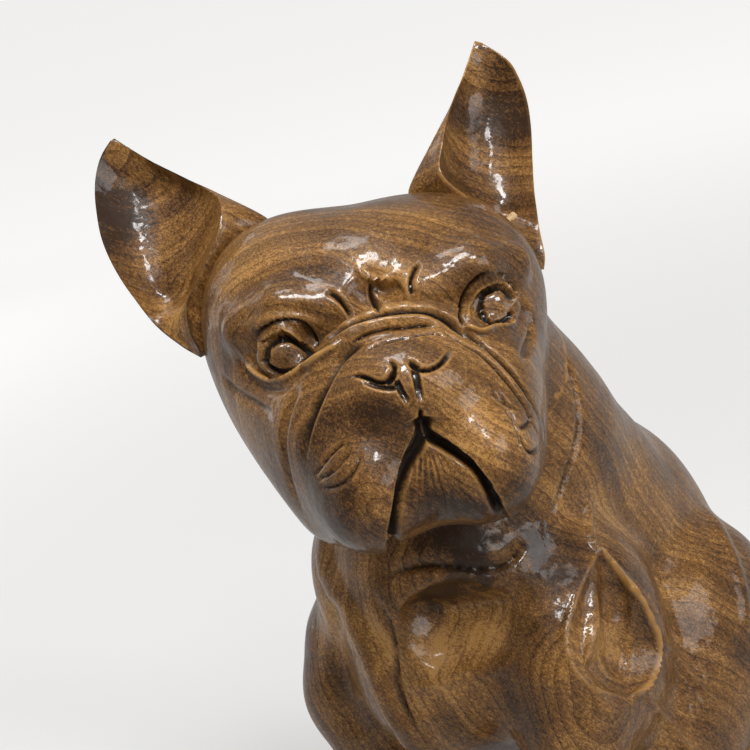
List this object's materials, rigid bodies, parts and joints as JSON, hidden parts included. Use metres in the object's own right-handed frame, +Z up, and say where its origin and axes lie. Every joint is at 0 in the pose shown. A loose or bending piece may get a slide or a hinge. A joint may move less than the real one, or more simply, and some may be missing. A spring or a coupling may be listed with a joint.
{
  "type": "bulldog sculpture",
  "caption": "Carved hardwood bulldog, seated with its head turned and raised, with tall cupped ears, a creased muzzle and felt pads under its feet.",
  "frame": {"origin": "under the middle of the bounding box, on the surface that the felts rest on", "axes": "+Z up, the body faces -Y, the dog's left is +X"},
  "size_m": [0.1572, 0.2216, 0.2817],
  "materials": {
    "oiled_hardwood": "oiled and waxed satin",
    "peg_wood": "bare",
    "felt": "matte"
  },
  "bodies": {
    "root": {"trunk": "oiled_hardwood", "head": "oiled_hardwood", "ear_left": "oiled_hardwood", "ear_right": "oiled_hardwood", "foreleg_left": "oiled_hardwood", "foreleg_right": "oiled_hardwood", "hind_foot_left": "oiled_hardwood", "hind_foot_right": "oiled_hardwood", "neck_peg": "peg_wood", "ear_peg_left": "peg_wood", "ear_peg_right": "peg_wood", "foreleg_peg_left": "peg_wood", "foreleg_peg_right": "peg_wood", "hind_foot_peg_left": "peg_wood", "hind_foot_peg_right": "peg_wood", "fore_felt_left": "felt", "fore_felt_right": "felt", "hind_felt_left": "felt", "hind_felt_right": "felt", "rump_felt": "felt"}
  },
  "joints": []
}
